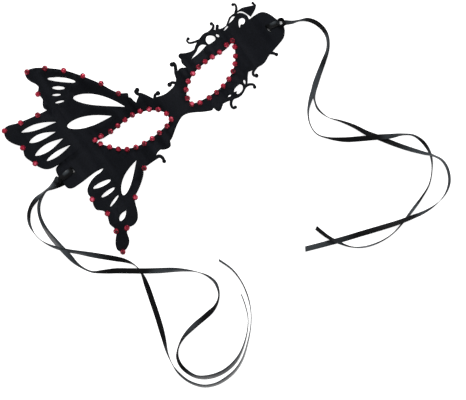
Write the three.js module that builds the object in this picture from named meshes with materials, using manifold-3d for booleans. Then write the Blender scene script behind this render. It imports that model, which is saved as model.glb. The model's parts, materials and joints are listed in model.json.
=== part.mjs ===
// A one-sided butterfly mask: a sheet of black leather cut to a half mask with a butterfly's wings on
// one side and scrollwork all round, red glass stones along its edges, and a satin ribbon tied
// through a slot at each temple. It lies face up on a flat surface.
//
// Units are millimetres. The drawing is centred midway between the eyes: X runs across the face,
// Y up the face and Z out of it, from the surface that the mask lies on. A plan point is [x, y].
import * as THREE from "three";
import { mergeVertices } from "three/addons/utils/BufferGeometryUtils.js";
import Module from "manifold-3d";

const wasm = await Module();
wasm.setup();

// Leather sheet
const LEATHER_THICKNESS = 1.5;
const CROWN_HEIGHT = 20; // underside of the sheet over the nose
const CROWN_HALF_SPAN = 77; // the sheet comes down to the surface this far from the nose
const NOSE_RIDGE_HEIGHT = 2;
const NOSE_RIDGE_HALF_WIDTH = 15;
const WING_ROOT = 72.8; // the wings part from the left tab this far out
const WING_LIFT = 3.4; // how far the wings stand above the tab
const WING_LIFT_LENGTH = 16;
const WING_LEVEL_HALF_WIDTH = 46; // the wings keep their lift this far from the middle line
const WING_TIP_REACH = 70; // and are down on the surface here
const SHEET_GRID = 7; // columns under the crown
const SHEET_ENDS = [-120, -108, -96, 96, 108]; // columns past the pads
const SHEET_ROWS = [-74, -70, -64, -58, -52, -46, 46, 52, 58, 64, 70, 88];
const TAB_ROWS = [-20, 20];

// Temple tabs and slots
const TAB_EDGE = 11.1; // upper edge of the left tab
const SLIT_EDGE = 11.3; // edge of the hindwing along it: the slit is a fine cut
const PAD_END = 85; // the tabs lie flat from the end of the crown to here
const TAB_LIFT = 1.2; // room under each tab's end for the ribbon
const SLOT_OUT = 90.5;
const SLOT_MIDDLE = { left: 1.5, right: 0.4 };
const SLOT_LENGTH = 5.8;
const SLOT_WIDTH = 1.8;
const TAB_END = { left: 102, right: 101.2 };

// Stones
const STONE_DIAMETER = 4.4;
const STONE_HEIGHT = 1.7;
const STONE_TABLE = 0.55; // share of the diameter
const STONE_SIDES = 8;
const GLUE_GAP = 0.3;

// Ribbons
const RIBBON_WIDTH = 4;
const RIBBON_THICKNESS = 0.5;
const RIBBON_GAP = 0.3; // to the leather and between the two tails
const KNOT_RADII = [3, 2.7, 2.2];

// Faceting
const WELD_DISTANCE = 1e-3;
const CHORD_TOLERANCE = 0.15;
const PRISM_BOTTOM = -5;
const PRISM_HEIGHT = 40;

const LEATHER_BLACK = new THREE.MeshStandardMaterial({ color: 0x1b1c1f, roughness: 0.72, metalness: 0 });
const STONE_RED = new THREE.MeshStandardMaterial({ color: 0xb0122e, roughness: 0.12, metalness: 0.1 });
const RIBBON_BLACK = new THREE.MeshStandardMaterial({ color: 0x17181b, roughness: 0.35, metalness: 0 });

// Solids

/** Closed solid of a geometry, joined at its shared corners. */
function solidOf(geometry) {
  geometry.deleteAttribute("normal");
  geometry.deleteAttribute("uv");
  const merged = mergeVertices(geometry, WELD_DISTANCE);
  return new wasm.Manifold(
    new wasm.Mesh({
      numProp: 3,
      vertProperties: merged.attributes.position.array,
      triVerts: new Uint32Array(merged.index.array),
    }),
  );
}

/** Named mesh of a solid. */
function meshOf(name, solid, material) {
  const { vertProperties, triVerts } = solid.getMesh();
  const geometry = new THREE.BufferGeometry();
  geometry.setAttribute("position", new THREE.BufferAttribute(vertProperties, 3));
  geometry.setIndex(new THREE.BufferAttribute(triVerts, 1));
  geometry.computeVertexNormals();
  const mesh = new THREE.Mesh(geometry, material);
  mesh.name = name;
  return mesh;
}

const joined = (solids) => solids.reduce((whole, solid) => whole.add(solid));

/** Upright prism over a plan outline, tall enough to cut right through the sheet. */
function prism(points) {
  const geometry = new THREE.ExtrudeGeometry(new THREE.Shape(points), {
    depth: PRISM_HEIGHT,
    bevelEnabled: false,
  });
  return solidOf(geometry.translate(0, 0, PRISM_BOTTOM));
}

// Plan outlines

const vector = ([x, y]) => new THREE.Vector2(x, y);
const mirrored = (points, middle = 0) => points.map(([x, y]) => [2 * middle - x, y]);

/** Points of a curve up to its end point, as far apart as the tolerance allows. */
function flattened(curve, spans, tolerance = CHORD_TOLERANCE) {
  const points = [];
  const halve = (from, to) => {
    const middle = (from + to) / 2;
    const start = curve.getPoint(from);
    const chord = curve.getPoint(to).sub(start);
    const bulge = Math.abs(chord.cross(curve.getPoint(middle).sub(start))) / chord.length();
    if (bulge > tolerance) {
      halve(from, middle);
      halve(middle, to);
    } else {
      points.push(start);
    }
  };
  for (let span = 0; span < spans; span += 1) halve(span / spans, (span + 1) / spans);
  return points;
}

/** Closed outline of smooth stretches that meet at corners, each given by the points after its corner. */
function outline(start, ...stretches) {
  let corner = vector(start);
  const points = [];
  for (const stretch of stretches) {
    const knots = [corner, ...stretch.map(vector)];
    points.push(...flattened(new THREE.SplineCurve(knots), knots.length - 1));
    corner = knots.at(-1);
  }
  if (corner.distanceTo(points[0]) > CHORD_TOLERANCE) points.push(corner);
  return points;
}

/** Smooth curve that closes on itself. */
class Loop extends THREE.Curve {
  constructor(points) {
    super();
    this.spans = points.length;
    this.curve = new THREE.CatmullRomCurve3(points.map(([x, y]) => new THREE.Vector3(x, y, 0)), true);
  }
  getPoint(t) {
    const { x, y } = this.curve.getPoint(t);
    return new THREE.Vector2(x, y);
  }
}

function loop(points) {
  const curve = new Loop(points);
  return flattened(curve, curve.spans);
}

function disc([x, y], radius) {
  const curve = new THREE.EllipseCurve(x, y, radius, radius);
  return flattened(curve, 6);
}

/** Slender opening from a round end to a tip; full is where it is widest and bow its sideways bend. */
function petal(round, tip, width, { full = 0.38, bow = 0, roundEnd = 0.5, tipEnd = 1 } = {}) {
  const start = vector(round);
  const axis = vector(tip).sub(start);
  const across = new THREE.Vector2(-axis.y, axis.x).normalize();
  const side = (sign) => (share) => {
    const phase = share < full ? share / full / 2 : 0.5 + (share - full) / (1 - full) / 2;
    const power = share < full ? roundEnd : tipEnd;
    const half = (width / 2) * Math.max(Math.sin(Math.PI * phase), 0) ** power;
    const offset = sign * half + bow * 4 * share * (1 - share);
    return start.clone().addScaledVector(axis, share).addScaledVector(across, offset);
  };
  const shares = [0.04, 0.18, 0.38, 0.6, 0.82];
  if (tipEnd < 1) shares.push(0.96);
  const there = shares.map(side(-1));
  const back = shares.map(side(1)).reverse();
  const rim = new THREE.SplineCurve([vector(tip), ...back, start, ...there, vector(tip)]);
  return flattened(rim, rim.points.length - 1);
}

/** Opening with two round ends. */
const bean = (start, end, width, bow = 0) => petal(start, end, width, { full: 0.5, bow, tipEnd: 0.5 });

/** Scroll arm that narrows from its root to a round head. */
function scroll(points, head, { root = 2, tip = 1.3, radius = 1.2 } = {}) {
  const curve = new THREE.SplineCurve([...points, head].map(vector));
  const steps = points.length * 3;
  const left = [];
  const right = [];
  for (let step = 0; step <= steps; step += 1) {
    const share = step / steps;
    const middle = curve.getPoint(share);
    const { x, y } = curve.getTangent(share);
    const half = THREE.MathUtils.lerp(root, tip, share) / 2;
    left.push(new THREE.Vector2(middle.x - y * half, middle.y + x * half));
    right.push(new THREE.Vector2(middle.x + y * half, middle.y - x * half));
  }
  const rim = [...right, ...left.reverse()].map((point) => point.toArray());
  const stroke = new wasm.CrossSection([rim], "NonZero"); // joined where a tight bend runs into itself
  const arm = stroke.extrude(PRISM_HEIGHT).translate([0, 0, PRISM_BOTTOM]);
  return arm.add(prism(disc(head, radius)));
}

// Heights of the sheet's underside

const bell = (distance, halfWidth) =>
  distance < halfWidth ? (1 + Math.cos((Math.PI * distance) / halfWidth)) / 2 : 0;

function crownHeight(x) {
  const out = Math.abs(x);
  return CROWN_HEIGHT * bell(out, CROWN_HALF_SPAN) + NOSE_RIDGE_HEIGHT * bell(out, NOSE_RIDGE_HALF_WIDTH);
}

const tabLift = (x) => TAB_LIFT * THREE.MathUtils.smoothstep(Math.abs(x), PAD_END, SLOT_OUT - SLOT_WIDTH);

function wingLift(x, y) {
  const away = THREE.MathUtils.smoothstep(-x, WING_ROOT, WING_ROOT + WING_LIFT_LENGTH);
  const level = 1 - THREE.MathUtils.smoothstep(Math.abs(y), WING_LEVEL_HALF_WIDTH, WING_TIP_REACH);
  return WING_LIFT * away * level;
}

const faceHeight = (x, y) => crownHeight(x) + (x > 0 ? tabLift(x) : wingLift(x, y));
const tabHeight = (x) => crownHeight(x) + tabLift(x);

/** Columns across the sheet: regular under the crown, then at the wings' root and round the flat pads. */
function sheetColumns() {
  const columns = new Set(SHEET_ENDS).add(-WING_ROOT).add(-WING_ROOT - WING_LIFT_LENGTH / 2);
  for (let x = -CROWN_HALF_SPAN; x <= CROWN_HALF_SPAN; x += SHEET_GRID) columns.add(x);
  for (const x of [PAD_END, SLOT_OUT - SLOT_WIDTH]) columns.add(x).add(-x);
  return [...columns].sort((a, b) => a - b);
}

/** Plain slab of leather over rows and columns of the plan, its underside following a height. */
function slab(columns, rows, height) {
  const [across, along] = [columns.length - 1, rows.length - 1];
  const geometry = new THREE.BoxGeometry(across, along, LEATHER_THICKNESS, across, along, 1);
  geometry.translate(across / 2, along / 2, LEATHER_THICKNESS / 2);
  const position = geometry.getAttribute("position");
  for (let i = 0; i < position.count; i += 1) {
    const x = columns[Math.round(position.getX(i))];
    const y = rows[Math.round(position.getY(i))];
    position.setXYZ(i, x, y, position.getZ(i) + height(x, y));
  }
  return solidOf(geometry);
}

// Wings

function forewing() {
  return outline(
    [-79.4, 49.2],
    [[-80.4, 52.2], [-79.2, 55.1], [-77.3, 57.4]],
    [[-77.2, 60.2], [-78.1, 63.3], [-75.9, 65.3], [-74.1, 67.1]],
    [[-74.4, 69.4], [-76.3, 73.2], [-77.4, 77], [-76.8, 80.4], [-74.7, 82], [-70.5, 81.4]],
    [[-66, 79], [-58.2, 72.6], [-50.6, 65], [-42.8, 54.1], [-35.2, 41.4], [-28.4, 27.9]],
    [[-26.5, 25.9], [-24.3, 24.5], [-22.7, 22.8], [-24.1, 20.5]],
    [[-22.8, 19.2], [-22.7, 16.8], [-22, 14]],
    [[-30, 0]],
    [[-62, 12]],
  );
}

function hindwing() {
  return outline(
    [-79.4, 49.2],
    [[-87.3, 50.7], [-97, 53.1], [-104, 54.9], [-110.6, 57.3], [-114.6, 56], [-116.6, 51]],
    [[-115.9, 46.7], [-113.7, 42.4], [-110.5, 38.3]],
    [[-111.9, 34.5], [-113.2, 30.3], [-110.8, 22.8]],
    [[-109.6, 18.6], [-106.8, 14.4], [-103, 12.1], [-99, SLIT_EDGE]],
    [[-WING_ROOT + 1, SLIT_EDGE]],
    [[-55, 0]],
    [[-38, 8]],
    [[-60, 34]],
  );
}

function lowerWing() {
  return outline(
    [-46.4, -28.7],
    [[-48.8, -31.8], [-54, -36.2], [-60, -39.8], [-65.2, -42.3]],
    [[-67, -45.8], [-69.2, -51.5], [-72.7, -56.7], [-77.6, -58.7], [-82.2, -57.7]],
    [[-85, -59.8], [-86.4, -64.2], [-88.6, -67.6], [-93, -69.9], [-96.6, -69.6], [-98.8, -66.6],
      [-97.6, -62.4], [-94.6, -58.6], [-92, -56]],
    [[-91.1, -51.6], [-92, -47.6], [-90.5, -43.6], [-88.8, -39.7]],
    [[-90.2, -36.5], [-93.5, -33.4], [-93.5, -29], [-91.7, -24.4]],
    [[-91.8, -20.4], [-90.1, -16.6], [-85.4, -13.6], [-79.3, -11.9], [-72.6, -11.6]],
    [[-60, -4]],
    [[-42, -12]],
    [[-40, -26]],
  );
}

function wingOpenings() {
  return [
    petal([-57.9, 45], [-30.6, 16.5], 8, { full: 0.36, bow: 1.3 }),
    bean([-65.1, 68], [-49.5, 53.5], 3.4, 0.5),
    bean([-66.2, 60.4], [-58.8, 54.6], 2.5),
    bean([-69.4, 55.9], [-64.1, 52.5], 1.5),
    bean([-71, 49.9], [-64.9, 47.3], 1.5),
    petal([-74.3, 30.4], [-42.8, 16.8], 8.4, { full: 0.38, bow: 0.2 }),
    petal([-104.6, 47.1], [-79, 38], 4.4, { full: 0.42, roundEnd: 0.75, bow: 0.6 }),
    petal([-104.3, 37.4], [-83.8, 32.2], 4.8, { roundEnd: 0.65, bow: 0.6 }),
    petal([-106.4, 26.9], [-82.3, 25], 5.4, { full: 0.42, roundEnd: 0.6, bow: 0.2 }),
    petal([-101.9, 18.6], [-80.6, 17.8], 3.5, { full: 0.42, roundEnd: 0.65 }),
    bean([-86, -18.6], [-71.8, -21.2], 3.3),
    bean([-84.9, -27.6], [-72.9, -27.6], 2.7),
    bean([-83.8, -37.1], [-74, -33.9], 1.8),
    petal([-70.9, -35.9], [-47.6, -20.9], 6.8, { full: 0.36, bow: 1.1 }),
    petal([-84.2, -50.1], [-76, -46.6], 3.6, { full: 0.42, bow: 0.2 }),
  ];
}

// Face

const EYES = {
  left: [
    [-63.7, 8.4], [-56.4, 7], [-48, 7.5], [-38, 8], [-28.2, 7.1], [-20.3, 4.6], [-13.4, -0.1], [-9, -5.7],
    [-10, -11.6], [-17.4, -13.7], [-28, -14.2], [-38.1, -13.3], [-47.1, -10.1], [-54.3, -4.5], [-59.8, 2.4],
  ],
  right: [
    [62.6, 7.5], [56.4, 6.6], [48, 6.9], [38, 7.4], [29, 6.7], [21.4, 4.3], [15, -0.2], [11, -5.6],
    [11.8, -11.4], [18.4, -13.7], [28, -14.6], [38.1, -14], [47.5, -11], [55.3, -5.4], [60.6, 1.6],
  ],
};

/** Brow and nose, right half and left half. */
function bridge() {
  const brow = {
    right: [[[4.4, 6.4], [8.4, 7.3], [10.6, 8.5]], [[12.9, 11.2], [15, 13.8], [18, 15]]],
    left: [[[-4.4, 7.1], [-7.8, 8.4], [-10, 9.2]], [[-11.6, 12.3], [-13.3, 15.5], [-15.2, 18.2]]],
  };
  const corner = [[[21.2, 14.6]], [[21.9, 14]], [[26, 12]]];
  const foot = [[[26, -20]], [[22.6, -23.2]]];
  const nose = {
    right: [[20.6, -24.4], [17.2, -23.1], [13.2, -20.9], [8.1, -17.6], [3.9, -15.6], [0, -15]],
    left: [[-20.6, -24.6], [-17.1, -23.9], [-13.3, -21.7], [-8.1, -18.3], [-3.9, -16.2], [0, -15]],
  };
  const top = [0, 6.1];
  return [
    outline(top, ...brow.right, ...corner, ...foot, nose.right, [top]),
    outline(
      top,
      ...brow.left,
      ...corner.map((points) => mirrored(points)),
      ...foot.map((points) => mirrored(points)),
      nose.left,
      [top],
    ),
  ];
}

const FEET = {
  right: [
    [22.4, -21], [22.4, -25.2], [23.6, -27.9], [25.9, -28], [28.2, -26.5], [30.6, -24.6], [30.6, -20],
  ],
  left: [
    [-18.2, -22], [-19, -25.5], [-20.6, -27.7], [-23, -27.9], [-25.6, -26.8], [-28.3, -25.2], [-27.4, -20],
  ],
};

/** Right side of the face out to the round end of its tab, with the solid ground of the scrollwork. */
function rightCheek() {
  return outline(
    [23.2, 14.6],
    [[22.9, 17.7], [24, 20.4]],
    [[23.5, 22.1], [24.3, 23.7], [26.2, 24.2], [27.7, 23.2]],
    [[30.2, 21.8], [33.2, 20.7], [36.2, 20.5], [38.6, 22.1], [43.2, 24.5], [47.1, 25.6], [50.6, 25.8],
      [53.2, 24.7], [56.4, 24.5]],
    [[58.5, 22.6]],
    [[60.4, 22.1]],
    [[62.6, 21.2], [67.9, 20.8], [74, 21.7], [76.8, 23.6]],
    [[79.8, 22.9], [82.4, 20.6], [83.6, 17.4], [83.2, 14.5]],
    [[84.9, 14.4], [88.2, 14.4], [91.7, 14.1], [94.9, 12.6], [97.4, 9.3], [98.9, 5.4],
      [TAB_END.right - 1.3, 1.8], [TAB_END.right, -2], [100.8, -5.8], [99, -9.2], [95.6, -12.2],
      [90.4, -13.8], [82.9, -15.5]],
    [[80.4, -16], [77.8, -16.8], [74, -18.5], [70, -18.9], [66, -18.4], [62.4, -18], [59.4, -17.1]],
    [[57.3, -19.1], [55.2, -21.9], [52.6, -25]],
    [[48.8, -26.8], [44.6, -28.4], [40.8, -28.1], [37.2, -27.1], [33.4, -25.9], [30, -25.4]],
    [[24, -18]],
    [[24, 12]],
  );
}

/** Left side of the face, under the wings. */
function leftCheek() {
  return outline(
    [-22, 12],
    [[-40, 12]],
    [[-WING_ROOT, SLIT_EDGE + 1]],
    [[-WING_ROOT, -10.4]],
    [[-62, -14]],
    [[-46.6, -28.6]],
    [[-42, -29.1], [-38, -28.6], [-34, -27], [-31, -25.6], [-28, -25.3]],
    [[-22, -18]],
  );
}

const leftTab = () =>
  outline(
    [-64, TAB_EDGE],
    [[-97, TAB_EDGE]],
    [[-100, 9.8], [-101.3, 7.1], [-TAB_END.left, 2.9], [-TAB_END.left, -3], [-101.3, -7.3], [-98.1, -9.5],
      [-94, -9.8]],
    [[-82, -10.1], [-WING_ROOT, -10.4], [-64, -10.4]],
  );

/** Leaf over the right ring, with its hooked end. */
function leaf() {
  const blade = outline(
    [78.3, 24.8],
    [[83.6, 24.7], [88, 22.9], [92.2, 20.8], [93.4, 19.8]],
    [[91.8, 18.2], [88.8, 16.6], [85.2, 15.2]],
    [[84.2, 18.1], [83.1, 21.1], [81.2, 23.2], [78.6, 23.7]],
  );
  const hook = scroll([[90.4, 19.4], [92.7, 19.9]], [92.5, 22.6], { root: 2, tip: 1.6, radius: 1.1 });
  return prism(blade).add(hook);
}

/** Scroll arms of the right side, and those that both sides have. */
function scrollwork() {
  const pairs = [
    { middle: 0.2, arm: [[13.7, 9.5], [14.7, 13.3], [16.5, 16.4], [17.9, 19.1], [17.7, 21]],
      head: [16.3, 20.9], root: 2.8, tip: 2.5, radius: 1.8 },
    { middle: 0.6, arm: [[10.6, 6.8], [9.7, 8.8], [7.9, 10.1]],
      head: [6, 9.7], root: 2.3, tip: 2.2, radius: 1.8 },
  ];
  const singles = [
    { arm: [[45, 23.4], [40.9, 24.4], [38, 25.4], [36.1, 26.7], [36, 28.9]], head: [37.5, 29.4],
      tip: 1.4, radius: 1.3 },
    { arm: [[52, 24], [55, 24.2], [57.4, 25.1], [58.9, 26.8]], head: [58.3, 28.4],
      root: 2.6, tip: 1.5, radius: 1.4 },
    { arm: [[58.4, 20.4], [59.4, 22.6]], head: [60.9, 24.4], root: 2.4, tip: 2.4, radius: 1.3 },
    { arm: [[66.4, 20], [69.2, 22], [72.4, 23.9], [76.2, 24.1]],
      head: [78.2, 23.8], root: 1.6, tip: 1.5, radius: 0.8 },
    { arm: [[74.8, 21], [77.3, 24], [79.8, 26.1], [81.2, 28.6], [81, 30.3]], head: [79.8, 30.6],
      root: 2.4, radius: 1.2 },
    { arm: [[80.2, -14.5], [82.4, -16.4]], head: [84.1, -18.9], root: 2.6, tip: 2, radius: 1.4 },
    { arm: [[69, -17], [65, -18], [62.2, -19.2], [61, -21.3]], head: [62.6, -22.9],
      root: 2.2, tip: 1.9, radius: 1.6 },
    { arm: [[48, -24.8], [52.3, -24.6], [55.2, -25.6], [56.8, -27.4]],
      head: [56.4, -29], root: 2.2, tip: 2, radius: 1.4 },
    { arm: [[41, -26], [37.4, -26.5], [35, -28.2], [33.9, -30.4], [34.2, -32.4]], head: [35.7, -32.7],
      root: 2.3, tip: 2, radius: 1.3 },
    { arm: [[-41, -27.4], [-36, -27.7], [-31.9, -28.5], [-30.6, -31]], head: [-31.1, -33.8],
      root: 3.4, tip: 2.2, radius: 1.5 },
  ];
  return [
    ...pairs.flatMap(({ middle, arm, head, ...sizes }) => [
      scroll(arm, head, sizes),
      scroll(mirrored(arm, middle), mirrored([head], middle)[0], sizes),
    ]),
    ...singles.map(({ arm, head, ...sizes }) => scroll(arm, head, sizes)),
    leaf(),
  ];
}

/** Openings of the right side's scrollwork. */
function scrollOpenings() {
  return [
    loop([[47.6, 17.3], [47.3, 20.1], [49.4, 22.5], [52.3, 21.8], [54.3, 19.4], [53.8, 17.2], [50.6, 16.8]]),
    bean([56.3, 19.8], [57.2, 17.1], 1.7),
    outline(
      [30.8, 15.8],
      [[33.8, 16.8], [37.1, 18], [40.1, 19.7], [43.1, 19.8], [45.7, 17.6]],
      [[40.7, 16.5], [35.7, 15.9]],
    ),
    petal([67.2, 19.7], [62.8, 18.7], 1.1),
    petal([71.6, 22], [76, 22.6], 1, { full: 0.5 }),
    outline(
      [73.6, 13.5],
      [[74.9, 14.6], [75.8, 15.3]],
      [[77.2, 14.2], [79.4, 14.8], [80.4, 16.7], [79.3, 18.4], [77.1, 18.7], [75.5, 17.4], [74.3, 15.4],
        [73.6, 13.5]],
    ),
    outline(
      [43.9, -23.8],
      [[42.6, -24.9], [43.2, -25.8], [45.4, -26], [48.2, -25], [49.5, -22.8], [48.6, -20.9], [46, -20.8],
        [43.2, -21.5], [41.6, -22.8]],
    ),
    petal([53, -20], [51.8, -23.1], 1.5),
    petal([38.3, -23.4], [35.8, -23.2], 1.1),
  ];
}

/** Slot across a tab, for the ribbon. */
function slot(side) {
  const x = side === "right" ? SLOT_OUT : -SLOT_OUT;
  const [low, high] = [-SLOT_LENGTH / 2, SLOT_LENGTH / 2].map((reach) => SLOT_MIDDLE[side] + reach);
  return bean([x, low], [x, high], SLOT_WIDTH);
}

function leather() {
  const columns = sheetColumns();
  const cut = [
    ...wingOpenings(),
    ...scrollOpenings(),
    loop(EYES.left),
    loop(EYES.right),
    slot("right"),
  ];
  const plan = joined([
    ...[forewing(), hindwing(), lowerWing(), rightCheek(), leftCheek(), ...bridge()].map(prism),
    prism(loop(FEET.left)),
    prism(loop(FEET.right)),
    ...scrollwork(),
  ]);
  const pierced = cut.map(prism).reduce((whole, hole) => whole.subtract(hole), plan);
  const faceAndWings = pierced.intersect(slab(columns, SHEET_ROWS, faceHeight));
  const tabPlan = prism(leftTab()).subtract(prism(slot("left")));
  const tab = tabPlan.intersect(slab(columns.filter((x) => x < -60), TAB_ROWS, tabHeight));
  return faceAndWings.add(tab);
}

// Stones

// Middles of every second stone round the eyes, each from the outer corner over the eye.
const EYE_RINGS = {
  left: [
    [-63.7, 9.7], [-50.5, 7.9], [-36.7, 8.4], [-23.7, 6.7], [-12.1, -0.3], [-8.6, -11.8],
    [-21.6, -14.5], [-35.4, -14.2], [-48.4, -10.1], [-57.9, -0.9],
  ],
  right: [
    [63.5, 8.8], [50.8, 7.5], [37.9, 8], [25.2, 6.2], [13.9, -0.6], [11, -11.7],
    [24.3, -15.4], [38, -14.5], [50.4, -9.9], [58.6, -1.8],
  ],
};

/** Middles of the stones round an eye: those of the ring and one halfway between each two. */
function eyeStones(ring) {
  const curve = new Loop(ring);
  return Array.from({ length: 2 * ring.length }, (_, i) => curve.getPoint(i / 2 / ring.length).toArray());
}

const STONE_PLACES = {
  left_eye: eyeStones(EYE_RINGS.left),
  right_eye: eyeStones(EYE_RINGS.right),
  forewing: [
    [-74.5, 81.3], [-62.1, 75.4], [-51.8, 65.7], [-42.6, 53.8], [-34.9, 41], [-28.8, 27.3], [-77.7, 63],
  ],
  hindwing: [[-87, 50.5], [-100.9, 53.4], [-114.3, 55.7], [-110.7, 37.1], [-110.1, 22.1]],
  lower_wing: [[-91.6, -24.8], [-88.7, -40.1], [-96.4, -70.1], [-64.8, -42.7], [-46.4, -29.1]],
};

/** One stone: a flat back and eight facets up to the table. */
function stoneGeometry() {
  const radius = STONE_DIAMETER / 2;
  const facets = new THREE.CylinderGeometry(radius * STONE_TABLE, radius, STONE_HEIGHT, STONE_SIDES);
  return facets.rotateX(Math.PI / 2).translate(0, 0, STONE_HEIGHT / 2);
}

/** Stone on the face, square to the sheet, with its middle over a plan place. */
function stone(name, [middleX, middleY]) {
  const mesh = meshOf(name, solidOf(stoneGeometry()), STONE_RED);
  const slopeX = faceHeight(middleX + 0.5, middleY) - faceHeight(middleX - 0.5, middleY);
  const slopeY = faceHeight(middleX, middleY + 0.5) - faceHeight(middleX, middleY - 0.5);
  const up = new THREE.Vector3(-slopeX, -slopeY, 1).normalize();
  const x = middleX - (up.x * STONE_HEIGHT) / 2;
  const y = middleY - (up.y * STONE_HEIGHT) / 2;
  mesh.quaternion.setFromUnitVectors(new THREE.Vector3(0, 0, 1), up);
  mesh.position.set(x, y, faceHeight(x, y) + LEATHER_THICKNESS / up.z + GLUE_GAP);
  return mesh;
}

function stones() {
  return Object.entries(STONE_PLACES).flatMap(([group, places]) =>
    places.map((place, index) => stone(`stone_${group}_${String(index + 1).padStart(2, "0")}`, place)),
  );
}

// Ribbons
// A tail's route is a list of [x, y, turn, lift]: turn is how far the flat ribbon leans over from lying
// flat, in degrees, and lift how high its lower edge is above the surface. The right tails begin with
// the same points, because there they lie face to face.

const RIGHT_LEAD = [
  [103.2, -3.5, 40, 3], [107.7, -6.6, 68, 1.4], [113.1, -8.8, 86, 0], [118.4, -12, 60, 0],
  [122.1, -17.7, 50, 0], [123.6, -25, 54, 0], [122.1, -31.9, 68, 0], [117.2, -38.6, 68, 0],
  [109.4, -44.1, 46, 0], [100.8, -49.7, 28, 0], [91.6, -56.4, 10, 0],
];
const ROUTES = {
  right_upper: [
    ...RIGHT_LEAD,
    [84.4, -61.4, 50, 0], [77.5, -67.8, 76, 0], [73.2, -76.4, 84, 0], [73.2, -85.1, 84, 0],
    [78.5, -92.7, 72, 0], [87.3, -100.6, 30, 0.6], [97, -106.9, 10, 2.8], [107.5, -113.2, 8, 3.2],
    [116.2, -118.7, 28, 1.8], [125.3, -123.7, 72, 0], [131.2, -129.2, 72, 0], [133.8, -138, 54, 0],
    [132.6, -148, 68, 0], [127.1, -157.2, 84, 0], [118.7, -165.1, 82, 0], [108.9, -169.5, 72, 0],
    [98, -173, 60, 0], [87, -176.2, 74, 0], [76, -178.6, 84, 0], [64.6, -178.2, 80, 0],
    [53.3, -174.9, 75, 0], [44.8, -169.2, 82, 0], [39, -161.4, 64, 0.8], [34.2, -152, 50, 0.4],
    [31.1, -141.1, 42, 0],
  ],
  right_lower: [
    ...RIGHT_LEAD,
    [87.1, -62.7, 74, 0], [84.9, -70.4, 72, 0], [87.3, -79.7, 90, 0], [93.5, -88.1, 110, 0],
    [99.2, -97.1, 132, 0], [103.8, -106.6, 154, 0], [109, -114.6, 166, 0], [114.7, -123.9, 158, 0],
    [121.9, -134.4, 148, 0], [128.8, -143.4, 128, 0.8], [133.9, -149.8, 112, 3.2],
    [137.1, -157, 116, 2.4], [136.2, -165.3, 120, 0], [131.3, -173.3, 118, 0], [123.3, -178.4, 102, 0],
    [113.4, -180.2, 84, 0.8], [103, -179.5, 60, 3], [93.6, -177.3, 44, 3.2], [82.3, -174.2, 30, 1.4],
    [68.9, -169.6, 12, 0], [55.5, -164.8, 0, 0], [42, -160, -6, 0], [28.7, -154.8, 6, 0],
    [15, -149.3, 6, 0],
  ],
  left_outer: [
    [-105.2, 2.3, 20, 3.2], [-109.8, 1.5, 50, 1.4], [-114.7, 1.6, 78, 0], [-120, 1, 64, 0],
    [-126.2, 0, 30, 0], [-132.4, -2.3, 46, 0], [-137.1, -6.3, 48, 0], [-140.6, -12.4, 62, 0],
    [-141.6, -20.8, 88, 0], [-139.9, -28.9, 84, 0], [-135.3, -37.3, 62, 0], [-129.3, -44.7, 54, 0],
    [-122.5, -51.7, 44, 0], [-114.1, -60.5, 16, 0], [-104.9, -69.9, 18, 0], [-98.6, -76.9, 50, 0],
    [-95, -83.6, 82, 0], [-94.5, -91.3, 70, 0], [-96.8, -100.9, 22, 0], [-100.3, -112.3, 4, 0],
    [-104.8, -126.3, 0, 0], [-109.8, -139.6, 34, 0], [-114.1, -149.9, 70, 0], [-116.3, -159.4, 87, 0],
    [-116.5, -168, 70, 0], [-113.8, -178, 64, 0], [-107.6, -186.6, 56, 0], [-99.1, -191.2, 54, 0],
    [-90, -192.4, 50, 0], [-80.5, -191.5, 58, 0], [-70.9, -187.6, 68, 0], [-61, -180.3, 76, 0],
    [-52, -171.8, 84, 0], [-45.1, -162.5, 86, 0], [-40.5, -152.3, 82, 0], [-37.9, -141, 82, 0],
    [-38.1, -129.1, 76, 0], [-41.9, -117.5, 72, 0],
  ],
  left_inner: [
    [-102, -1.8, 8, 0], [-106.6, -1.4, 48, 0], [-111, -0.4, 64, 0], [-115.2, 0.6, 78, 0],
    [-120.3, -0.6, 64, 0], [-125.9, -4.1, 54, 0], [-129.9, -9.7, 54, 0], [-132.2, -17, 48, 0],
    [-133, -25.8, 34, 0], [-132.3, -36, 6, 0.4], [-130.9, -47, 6, 3.2], [-129, -58.4, 60, 4],
    [-124.3, -67.9, 74, 2], [-116.6, -73.6, 46, 0], [-108.4, -78.8, 10, 0.4], [-100.6, -84.6, 4, 3.6],
    [-92.4, -90.7, 6, 4], [-83.3, -97.1, 10, 1.4], [-75.3, -102.4, 30, 0], [-67.6, -108.2, 60, 0],
    [-60.3, -115.3, 86, 0], [-55.5, -123.1, 70, 0], [-54.3, -131, 60, 0], [-57.9, -139.2, 76, 0],
    [-65.2, -144.1, 54, 0], [-75, -145.7, 0, 0], [-86, -146.4, 16, 0], [-97, -148.3, 56, 0],
    [-105.4, -152.5, 78, 0], [-110.6, -158.8, 60, 0], [-111.5, -167.5, 46, 0], [-107.7, -177.6, 52, 0],
    [-100, -183.8, 36, 0], [-89.6, -187, 40, 0], [-79, -186.6, 46, 0], [-69.1, -182.9, 66, 0],
    [-58.6, -175.3, 80, 0], [-50.6, -166.4, 86, 0], [-46.3, -157.4, 84, 0], [-43.6, -148.4, 84, 0],
  ],
};
const LEAD_POINTS = { right: RIGHT_LEAD.length, left: 0 };
const KNOTS = { right: [101, -1.7, 5.2], left: [-103.3, 2.2, 5.2] };

/** Section of the flat ribbon: a bar, each broad side in two strips so that it can twist. */
function ribbonSection() {
  const across = [-RIBBON_WIDTH / 2, 0, RIBBON_WIDTH / 2];
  const half = RIBBON_THICKNESS / 2;
  const lower = across.map((x) => [x, -half]);
  const upper = across.map((x) => [x, half]).reverse();
  return new THREE.Shape([...lower, ...upper].map(vector));
}

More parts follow.
